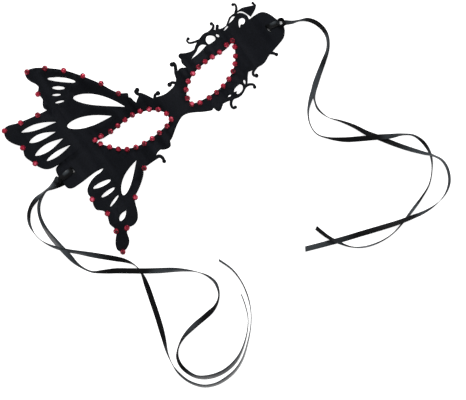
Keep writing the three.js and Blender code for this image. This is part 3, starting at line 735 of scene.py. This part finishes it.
@dataclass
class Weaver:
    """Makes flat ribbon: a thin closed strip with a thicker woven edge on both sides."""

    width: float = 4.15
    thickness: float = 0.34
    camber: float = 0.12
    level_share: float = 0.4
    clear: float = 0.02
    slant_steps: int = 4
    # Where across the ribbon the painted sheen goes from one edge's strength to the other's
    lit_across: tuple[float, float] = (-0.3, 0.7)
    smooth_degrees: float = 60.0
    across: tuple[float, ...] = (-1.0, -0.95, -0.86, -0.6, -0.3, 0.0, 0.3, 0.6, 0.86, 0.95, 1.0)
    bulk: tuple[float, ...] = (0.5, 1.15, 0.95, 0.85, 0.85, 0.85, 0.85, 0.85, 0.95, 1.15, 0.5)

    def strip(self, name: str, middles: np.ndarray, sideways: np.ndarray, lit: np.ndarray,
              widths: np.ndarray | None = None, slant: float = 0.0) -> Object:
        """Lay ribbon along a line.

        Args:
            name: name of the piece.
            middles: middle of the ribbon at each step, in millimetres.
            sideways: unit vectors across the ribbon at each step.
            lit: how strongly the painted sheen shows at each step, at one edge and at the other.
            widths: share of the full width at each step.
            slant: how far the last end is cut off square, as length over half width.

        Returns:
            The piece, in metres.
        """
        count = len(middles)
        widths = np.ones(count) if widths is None else widths
        forward = np.gradient(middles, axis=0)
        forward /= np.linalg.norm(forward, axis=1)[:, None]
        sideways = sideways - (sideways * forward).sum(axis=1)[:, None] * forward
        sideways /= np.linalg.norm(sideways, axis=1)[:, None]
        upwards = np.cross(forward, sideways)
        run = np.concatenate([[0.0], np.cumsum(np.linalg.norm(np.diff(middles, axis=0), axis=1))])
        shares = [*self.across, *reversed(self.across)]
        bulks = [*self.bulk, *(-bulk for bulk in reversed(self.bulk))]
        points, weave, glow = [], [], []
        for step in range(count):
            cut = slant * (self.width / 2) * FaceForm.ease(step, count - 1 - self.slant_steps, count - 1)
            for share, bulk in zip(shares, bulks, strict=True):
                half = self.width / 2 * widths[step]
                rise = bulk * self.thickness / 2 - self.camber * (share * share - self.level_share)
                point = middles[step] + sideways[step] * share * half + upwards[step] * rise
                points.append(point + forward[step] * cut * share)
                weave.append((share * self.width / 2, run[step]))
                # Painted sheen of each point, between the strengths at the two edges
                glow.append(float(np.interp(share, self.lit_across, lit[step])))
        ring = len(shares)
        turns = np.array(points).reshape(count, ring, 3)
        turns[:, :, 2] += np.maximum(self.clear - turns[:, :, 2].min(axis=1), 0.0)[:, None]
        faces = [tuple(reversed(range(ring)))]
        for step in range(count - 1):
            for i in range(ring):
                j = (i + 1) % ring
                base, above = step * ring, (step + 1) * ring
                faces.append((base + i, base + j, above + j, above + i))
        faces.append(tuple((count - 1) * ring + i for i in range(ring)))
        mesh = bpy.data.meshes.new(name)
        mesh.from_pydata((turns.reshape(-1, 3) * MM).tolist(), [], faces)
        layer = mesh.uv_layers.new(name="weave")
        for corner, vertex in zip(layer.data, mesh.loops, strict=True):
            corner.uv = weave[vertex.vertex_index]
        mesh.attributes.new("lit", "FLOAT", "POINT").data.foreach_set("value", glow)
        piece = bpy.data.objects.new(name, mesh)
        bpy.context.scene.collection.objects.link(piece)
        with editing(piece):
            bpy.ops.mesh.select_all(action="SELECT")
            bpy.ops.mesh.normals_make_consistent(inside=False)
        smooth(piece, self.smooth_degrees)
        return piece


@dataclass
class Ribbon:
    """One satin ribbon: two free tails, the loop through the tab's slot and the knot on it."""

    side: Side
    drawing: Drawing
    finish: Material
    width: float = 4.0
    solid_thickness: float = 0.5
    gap: float = 0.3
    clear: float = 0.1
    knot_rise: float = 0.7
    samples: int = 12
    step: float = 1.5
    tail_slant: float = 0.2
    band_samples: int = 10
    band_step: float = 0.4
    band_camber: float = 0.18
    turn_points: int = 12
    eyelet_place: tuple[float, float, float] = (101.1, -1.3, 4.8)
    eyelet_radius: float = 2.4
    eyelet_lean: float = 34.0
    eyelet_share: float = 0.64
    # Painted glint on a few steps of the eyelet, and how much more painted sheen one edge of the left
    # ribbon has than the other
    eyelet_lit_steps: tuple[int, ...] = (4, 5, 6)
    eyelet_glow: float = 0.4
    left_uneven_light: float = 0.3

    @property
    def node(self) -> str:
        """Solid that this ribbon stands for."""
        return f"ribbon_{self.side.value}"

    def knot_place(self) -> Vector:
        """Where the tails leave the knot, in metres."""
        first = next(route for name, route in TAIL_ROUTES.items() if name.startswith(self.side.value))[0]
        return self.drawing.at(first[0], first[1], first[3] + self.knot_rise)

    def tail(self, name: str, stack: float) -> None:
        """Make one free tail along its route.

        Args:
            name: name of the route.
            stack: which face of the pair this tail is on, 1 or -1.
        """
        route = np.array(TAIL_ROUTES[name], float)
        together = len(RIGHT_LEAD) if self.side is Side.RIGHT else 0
        joined = (np.arange(len(route)) < together).astype(float)
        # Painted sheen at each point of the route
        lit = np.array([LIT_POINTS[name].get(index, 0.0) for index in range(len(route))])
        rows = through_points(np.column_stack([route, joined, lit]), self.samples)
        rows = evenly(rows, self.step, 2)
        turn = np.radians(rows[:, 2])
        lift = np.clip(rows[:, 3], 0.0, None)
        pair = np.clip(rows[:, 4], 0.0, 1.0)
        forward = np.gradient(rows[:, :2], axis=0)
        forward /= np.linalg.norm(forward, axis=1)[:, None]
        level = np.column_stack([-forward[:, 1], forward[:, 0], np.zeros(len(rows))])
        upright = np.array([0.0, 0.0, 1.0])
        sideways = np.cos(turn)[:, None] * level + np.sin(turn)[:, None] * upright
        facing = -np.sin(turn)[:, None] * level + np.cos(turn)[:, None] * upright
        rest = (np.abs(np.sin(turn)) * self.width + self.solid_thickness) / 2 + self.gap * pair
        offset = stack * pair * (self.solid_thickness + self.gap) / 2
        middles = np.column_stack([rows[:, :2], rest + lift + self.clear]) + facing * offset[:, None]
        middles = middles + np.array(self.drawing.shift())
        # On the left ribbon one edge gets more painted sheen than the other
        uneven = self.left_uneven_light if self.side is Side.LEFT else 0.0
        lit = np.clip(rows[:, [5]], 0.0, None) * np.array([1 + uneven, 1 - uneven])
        slant = self.tail_slant * stack
        piece = Weaver().strip(f"tail_{name}", middles, sideways, lit, slant=slant)
        hand_over(piece, self.finish, "ribbon", self.node)
        path = [tuple(point * MM) for point in middles]
        tuple(self.knot_place())
        self.width * MM

    def tails(self) -> None:
        """Make both tails."""
        names = [name for name in TAIL_ROUTES if name.startswith(self.side.value)]
        for name, stack in zip(names, (-1, 1), strict=True):
            self.tail(name, stack)

    def band(self, name: str, places: list[tuple[float, ...]], closed: bool = False) -> None:
        """Make a length of ribbon through places in space.

        Args:
            name: name of the piece.
            places: x, y, z, direction across as x, y, z, share of the full width, and how strongly the
                sheen painted on each edge shows, where it does.
            closed: whether the band runs back into its start.
        """
        rows = np.array([(*place, 0.0, 0.0)[:9] for place in places])
        if closed:
            rows = np.vstack([rows[-2:], rows, rows[:3]])
        rows = through_points(rows, self.band_samples)
        if closed:
            rows = rows[2 * self.band_samples:-2 * self.band_samples]
        rows = evenly(rows, self.band_step, 3)
        middles = rows[:, :3] + np.array(self.drawing.shift())
        lit = np.clip(rows[:, 7:9], 0.0, None)
        piece = Weaver(camber=self.band_camber).strip(name, middles, rows[:, 3:6], lit, rows[:, 6])
        hand_over(piece, self.finish, "ribbon", self.node)

    def ring(self, name: str, middle: Sequence[float], reach: Sequence[float], axis_turn: float,
             lean: float, share: float, lit: float = 0.0) -> None:
        """Make a closed turn of ribbon round the strands.

        Args:
            name: name of the piece.
            middle: middle of the turn.
            reach: half sizes of the turn, sideways and upwards.
            axis_turn: direction of the turn's axis in the plan, in degrees.
            lean: how far the turn leans over, in degrees.
            share: share of the full width.
            lit: how strongly the painted sheen shows on it.
        """
        axis = Vector((math.cos(math.radians(axis_turn)), math.sin(math.radians(axis_turn)), 0.0))
        sideways = Vector((-axis.y, axis.x, 0.0))
        tilt = Quaternion(sideways, math.radians(lean))
        axis = tilt @ axis
        upwards = axis.cross(sideways)
        places = []
        for step in range(self.turn_points):
            angle = 2 * math.pi * step / self.turn_points
            out = sideways * math.cos(angle) * reach[0] + upwards * math.sin(angle) * reach[1]
            places.append((*(Vector(middle) + out), *axis, share, lit, lit))
        self.band(name, places, closed=True)

    def eyelet(self) -> None:
        """Make the turn of ribbon that stands on its edge round an open middle."""
        lean = math.radians(self.eyelet_lean)
        middle_x, middle_y, height = self.eyelet_place
        places = []
        for step in range(self.turn_points):
            angle = 2 * math.pi * step / self.turn_points
            x, y = math.cos(angle), math.sin(angle)
            # Painted glint on a few steps of the turn
            lit = self.eyelet_glow if step in self.eyelet_lit_steps else 0.0
            point = (middle_x + self.eyelet_radius * x, middle_y + self.eyelet_radius * y, height)
            across = (math.sin(lean) * x, math.sin(lean) * y, math.cos(lean))
            places.append((*point, *across, self.eyelet_share, lit, lit))
        self.band("knot_right_ring", places, closed=True)

    def knot(self) -> None:
        """Make the loop through the slot and the knot at the tab's end."""
        # The last two numbers of a place are the painted sheen at each edge; the highest paint the
        # glints in the slot and in the knot's hole
        flat = (0.0, 1.0, 0.0)
        if self.side is Side.RIGHT:
            askew, slanted = (0.2, 0.98, 0.0), (-0.35, 0.94, 0.0)
            self.band("loop_right", [
                (101.5, -2.2, 4.5, *askew, 0.5, 3.0, 3.0), (100.4, -1.8, 4.3, *askew, 0.55, 3.0, 3.0),
                (99.0, -0.9, 3.7, *askew, 0.85), (96.8, 0.0, 3.3, *askew, 1.0, 0.0, 1.3),
                (94.2, 0.5, 3.3, *flat, 1.0, 0.0, 0.9), (92.0, 1.1, 3.3, *flat, 0.95),
                (90.6, 1.5, 3.0, *slanted, 0.9), (90.4, 1.5, 2.0, *slanted, 0.85),
                (90.2, 0.6, 1.1, *slanted, 0.85, 2.4, 1.0), (89.4, -0.2, 0.7, *flat, 0.95, 2.4, 2.4),
                (90.6, -0.3, 0.45, *flat, 1.0, 2.4, 2.4), (92.5, -0.1, 0.5, *flat, 1.0),
                (98.5, -0.2, 0.6, *flat, 1.0), (101.2, -1.4, 0.8, *flat, 0.95),
                (102.4, -2.6, 2.0, *flat, 0.8), (102.3, -3.0, 3.4, *flat, 0.7),
            ])
            self.eyelet()
            self.ring("knot_right_wrap", (102.7, -3.5, 4.3), (1.7, 1.5), -36.0, 8.0, 0.5)
            self.ring("knot_right_turn", (101.0, -4.2, 4.0), (1.2, 1.2), -70.0, 12.0, 0.5)
        else:
            slanted = (0.25, 0.97, 0.0)
            self.band("loop_left", [
                (-102.4, 1.9, 4.4, *flat, 0.85), (-99.4, 1.4, 3.7, *flat, 1.0),
                (-97.2, 1.6, 3.35, *flat, 1.2, 0.0, 0.8), (-95.0, 1.8, 3.35, *flat, 1.25, 0.0, 1.4),
                (-93.2, 1.8, 3.35, *flat, 1.2, 0.0, 0.8), (-91.6, 2.2, 3.2, *slanted, 1.05),
                (-90.6, 2.6, 2.9, *slanted, 0.9), (-90.5, 2.6, 2.0, *slanted, 0.85),
                (-90.3, 1.6, 1.1, *slanted, 0.85, 2.4, 1.0), (-89.5, 0.8, 0.7, *flat, 0.95, 2.4, 2.4),
                (-90.7, 0.6, 0.45, *flat, 1.0, 2.4, 2.4), (-92.5, 0.6, 0.5, *flat, 1.0),
                (-99.5, -0.6, 0.6, *flat, 1.0), (-102.6, -0.8, 0.9, *flat, 1.0),
                (-104.6, -0.2, 2.2, *flat, 0.9), (-104.8, 0.8, 3.4, *flat, 0.8),
            ])
            self.ring("knot_left_wrap", (-103.4, 2.1, 4.3), (2.8, 1.9), 205.0, 6.0, 0.85)
            self.ring("knot_left_turn", (-104.0, 2.6, 4.6), (2.1, 2.2), 150.0, 14.0, 0.7, 0.4)
            self.ring("knot_left_tuck", (-105.6, 0.5, 3.0), (1.5, 1.3), 225.0, 8.0, 0.7)


# Leather


@dataclass
class LeatherSheet:
    """The cut sheet: laid flat, its edges rounded, cut into small fields and formed over the face."""

    drawing: Drawing
    form: FaceForm
    finish: Material
    node: str = "leather_mask"
    thickness: float = 1.5
    weld: float = 0.004
    flat_degrees: float = 0.6
    grain_rings: tuple[tuple[float, float, float], ...] = (
        (0.12, 0.12, 0.85), (0.3, 0.0, 0.15), (0.12, 0.0, 0.0),
    )
    grain_drop: float = 0.42
    flesh_ring: float = 0.22
    flesh_rise: float = 0.18
    field: float = 2.4
    least_bulges: tuple[float, float] = (0.012, 0.02)
    corner_degrees: float = 35.0
    small_corner_degrees: float = 64.0
    small_cut: float = 1.7
    smooth_degrees: float = 50.0

    def lay_flat(self) -> Object:
        """Copy the cut sheet and press it flat, so that its underside lies at zero.

        Returns:
            The flat sheet, with its coplanar faces joined.
        """
        sheet = own_copy(frame["nodes"][self.node], "leather_sheet")
        with editing(sheet):
            bpy.ops.mesh.select_all(action="SELECT")
            bpy.ops.mesh.remove_doubles(threshold=self.weld * MM)
            mesh = bmesh.from_edit_mesh(sheet.data)
            mesh.normal_update()
            upper = {v for v in mesh.verts if any(face.normal.z > 0.6 for face in v.link_faces)}
            for vertex in mesh.verts:
                vertex.co.z = self.thickness * MM if vertex in upper else 0.0
            bmesh.update_edit_mesh(sheet.data)
            bpy.ops.mesh.remove_doubles(threshold=self.weld * MM)
            bpy.ops.mesh.dissolve_degenerate(threshold=1e-6)
            bpy.ops.mesh.select_all(action="SELECT")
            bpy.ops.mesh.dissolve_limited(angle_limit=math.radians(self.flat_degrees))
        return sheet

    def curve_outlines(self, sheet: Object, least: float) -> None:
        """Give each cut edge between two gentle corners a middle point, set out to the curve.

        Args:
            sheet: the flat sheet.
            least: edges that would bulge less than this, in millimetres, stay straight.
        """
        moves = []
        with editing(sheet, "EDGE"):
            bpy.ops.mesh.select_all(action="DESELECT")
            mesh = bmesh.from_edit_mesh(sheet.data)
            mesh.normal_update()
            rims = {edge for edge in mesh.edges if self._is_rim(edge)}
            for edge in rims:
                first, second = edge.verts
                span = second.co - first.co
                bulge = self._run(first, edge, span, rims) - self._run(second, edge, span, rims)
                bulge *= span.length / 8
                if bulge.length > least * MM:
                    edge.select_set(True)
                    middle = (first.co + second.co) / 2
                    moves.append((middle, middle + bulge))
            bmesh.update_edit_mesh(sheet.data)
            bpy.ops.mesh.subdivide(number_cuts=1)
            tree = KDTree(len(moves))
            for index, (middle, _) in enumerate(moves):
                tree.insert(middle, index)
            tree.balance()
            for vertex in bmesh.from_edit_mesh(sheet.data).verts:
                _, index, gap = tree.find(vertex.co)
                if gap < 1e-7:
                    vertex.co = moves[index][1]
            bmesh.update_edit_mesh(sheet.data)
        LOG.info("outlines: %d new points", len(moves))

    @staticmethod
    def _is_rim(edge: bmesh.types.BMEdge) -> bool:
        """Whether an edge joins a broad side of the flat sheet to a cut side."""
        if len(edge.link_faces) != 2:
            return False
        one, other = sorted(abs(face.normal.z) for face in edge.link_faces)
        return one < 0.5 < other

    def _run(self, vertex: bmesh.types.BMVert, edge: bmesh.types.BMEdge, span: Vector,
             rims: set[bmesh.types.BMEdge]) -> Vector:
        """Direction of the outline at one end of an edge: the edge's own if that end is a corner."""
        beside = [other for other in vertex.link_edges if other in rims and other != edge]
        if len(beside) != 1:
            return span.normalized()
        along = beside[0].other_vert(vertex).co - vertex.co
        if vertex == edge.verts[0]:
            along = -along
        turn = math.degrees(span.angle(along, 0.0))
        small = max(span.length, along.length) < self.small_cut * MM
        if turn > (self.small_corner_degrees if small else self.corner_degrees):
            return span.normalized()
        return (span / span.length_squared + along / along.length_squared).normalized()

    def round_edges(self, sheet: Object) -> None:
        """Round the cut edges over and store how near each point is to them.

        Args:
            sheet: the flat sheet.
        """
        with editing(sheet):
            mesh = bmesh.from_edit_mesh(sheet.data)
            rim = mesh.verts.layers.float.new("rim")
            mesh.verts.layers.float.new("flesh")
            for vertex in mesh.verts:
                vertex[rim] = 1.0
            bmesh.update_edit_mesh(sheet.data)
            pick_faces(sheet, lambda face: face.normal.z > 0.9)
            self._set_picked(sheet, self.thickness - self.grain_drop, 1.0, 0.0)
            for inset, drop, nearness in self.grain_rings:
                bpy.ops.mesh.inset(thickness=inset * MM, depth=0.0, use_even_offset=False)
                self._set_picked(sheet, self.thickness - drop, nearness, 0.0)
            pick_faces(sheet, lambda face: face.normal.z < -0.9)
            self._set_picked(sheet, self.flesh_rise, 1.0, 0.4)
            bpy.ops.mesh.inset(thickness=self.flesh_ring * MM, depth=0.0, use_even_offset=False)
            self._set_picked(sheet, 0.0, 0.0, 1.0)

    def _set_picked(self, sheet: Object, height: float, rim: float, flesh: float) -> None:
        """Set the height and the stored marks of the selected points."""
        mesh = bmesh.from_edit_mesh(sheet.data)
        rims = mesh.verts.layers.float["rim"]
        fleshes = mesh.verts.layers.float["flesh"]
        for vertex in mesh.verts:
            if vertex.select:
                vertex.co.z = height * MM
                vertex[rims] = rim
                vertex[fleshes] = flesh
        bmesh.update_edit_mesh(sheet.data)

    def cut_fields(self, sheet: Object) -> None:
        """Cut the sheet into small fields, so that it can bend.

        Args:
            sheet: the flat sheet.
        """
        low, high = (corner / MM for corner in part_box(self.node))
        with editing(sheet):
            for axis, across in enumerate(((1, 0, 0), (0, 1, 0))):
                for place in np.arange(low[axis] + self.field, high[axis], self.field):
                    bpy.ops.mesh.select_all(action="SELECT")
                    middle = Vector(across) * place * MM
                    bpy.ops.mesh.bisect(plane_co=middle, plane_no=across, threshold=1e-7)

    def shape(self, sheet: Object) -> None:
        """Form the sheet over the face.

        Args:
            sheet: the flat sheet.
        """
        shift = self.drawing.shift()
        for vertex in sheet.data.vertices:
            x, y = vertex.co.x / MM - shift.x, vertex.co.y / MM - shift.y
            vertex.co.z += self.form.height(x, y) * MM
        sheet.data.update()

    def build(self) -> None:
        """Make the leather and dress it."""
        sheet = self.lay_flat()
        for least in self.least_bulges:
            self.curve_outlines(sheet, least)
        self.round_edges(sheet)
        self.cut_fields(sheet)
        self.shape(sheet)
        smooth(sheet, self.smooth_degrees)
        hand_over(sheet, self.finish, "leather", self.node)


# Stones


@dataclass
class StoneTrim:
    """Flat-backed glass stones: a girdle, two rows of facets and a table, glued along the edges."""

    drawing: Drawing
    form: FaceForm
    finish: Material
    diameter: float = 4.4
    height: float = 1.7
    sides: int = 8
    girdle: float = 0.4
    facet_rows: tuple[tuple[float, float], ...] = ((0.62, 0.80), (0.68, 0.66))
    sunk: float = 0.04
    turn_step: float = 2.4
    neck_turn_step: float = 1.7
    leather: float = 1.5
    extra: tuple[tuple[float, float], ...] = ((-91.3, -54.6), (-83.3, -57.5))

    def pattern(self) -> Object:
        """Cut the stone that all the others are copied from.

        Returns:
            A stone with its flat back at the origin.
        """
        radius, depth = self.diameter / 2 * MM, self.girdle * MM
        bpy.ops.mesh.primitive_cylinder_add(
            vertices=self.sides, radius=radius, depth=depth, location=(0, 0, depth / 2)
        )
        stone = bpy.context.active_object
        stone.name = "stone_pattern"
        only(stone)
        bpy.ops.object.transform_apply(location=True, rotation=True, scale=True)
        with editing(stone):
            pick_faces(stone, lambda face: face.normal.z > 0.9)
            for rise, shrink in self.facet_rows:
                bpy.ops.mesh.extrude_region_move(TRANSFORM_OT_translate={"value": (0, 0, rise * MM)})
                bpy.ops.transform.resize(value=(shrink, shrink, 1.0), center_override=(0, 0, 0))
                bpy.ops.transform.rotate(
                    value=math.pi / self.sides, orient_axis="Z", center_override=(0, 0, 0)
                )
            pick_faces(stone, lambda face: len(face.verts) == 4 and abs(face.normal.z) < 0.98)
            bpy.ops.mesh.quads_convert_to_tris(quad_method="SHORTEST_DIAGONAL")
            bpy.ops.mesh.select_all(action="SELECT")
            bpy.ops.mesh.normals_make_consistent(inside=False)
        return stone

    def ranks(self, stone: Object) -> list[int]:
        """Number the facets by where they are: from the back up, and round the stone.

        Args:
            stone: the stone as it was cut, with its back at the origin.

        Returns:
            The number of each face of the mesh.
        """
        spots = [face.center / MM for face in stone.data.polygons]
        places = [(round(spot.z, 2), round(math.atan2(spot.y, spot.x) * self.sides / math.pi)
                   % (2 * self.sides)) for spot in spots]
        return [sorted(places).index(place) for place in places]

    def set_stone(self, pattern: Object, name: str, x: float, y: float,
                  turn: float) -> Object:
        """Copy the stone to its place on the leather.

        Args:
            pattern: stone to copy.
            name: name of the piece.
            x: place across the face.
            y: place up the face.
            turn: how far it is turned on its back, in radians.

        Returns:
            The piece.
        """
        stone = own_copy(pattern, name)
        # Painted light and shade of each facet, spread at random
        painted_facet_lights = [(math.sin(rank * 12.9898 + turn * 7.1) * 43758.5453) % 1.0
                 for rank in self.ranks(stone)]
        up = self.form.upright(x, y)
        height = self.form.height(x, y) + self.leather / up.z - self.sunk
        lay = Matrix.Translation(self.drawing.at(x, y, height))
        lean = Vector((0, 0, 1)).rotation_difference(up).to_matrix().to_4x4()
        stone.data.transform(lay @ lean @ Matrix.Rotation(turn, 4, "Z"))
        stone.data.attributes.new("painted_facet_light", "FLOAT", "FACE").data.foreach_set("value", painted_facet_lights)
        return stone

    def build(self) -> None:
        """Set every stone."""
        pattern = self.pattern()
        shift = self.drawing.shift()
        names = sorted(name for name in frame["nodes"] if name.startswith("stone_"))
        for index, name in enumerate(names):
            corners = [vertex.co for vertex in frame["nodes"][name].data.vertices]
            middle = sum(corners, Vector()) / len(corners) / MM - shift
            up = self.form.upright(middle.x, middle.y)
            foot = middle - up * (self.height / 2)
            turn = index * self.turn_step
            stone = self.set_stone(pattern, name.replace("stone", "glass"), foot.x, foot.y, turn)
            hand_over(stone, self.finish, "stone", name)
        for index, (x, y) in enumerate(self.extra):
            turn = index * self.neck_turn_step
            stone = self.set_stone(pattern, f"glass_neck_{index + 1:02d}", x, y, turn)
            hand_over(stone, self.finish, "stone")
        bpy.data.objects.remove(pattern)


def main() -> None:
    """Build the camera, the ribbons, the leather and the stones, then the table and the light."""
    logging.basicConfig(level=logging.INFO, format="%(message)s")
    for node in frame["nodes"].values():
        node.select_set(False)
    drawing = Drawing()
    form = FaceForm()
    studio = Studio(drawing)
    studio.camera()
    satin = SatinFinish().material()
    for side in Side:
        ribbon = Ribbon(side, drawing, satin)
        ribbon.tails()
        ribbon.knot()
    LeatherSheet(drawing, form, LeatherFinish().material()).build()
    StoneTrim(drawing, form, GlassFinish().material()).build()
    studio.table()
    studio.key_light()
    studio.even_light()


if __name__ == "__main__":
    main()
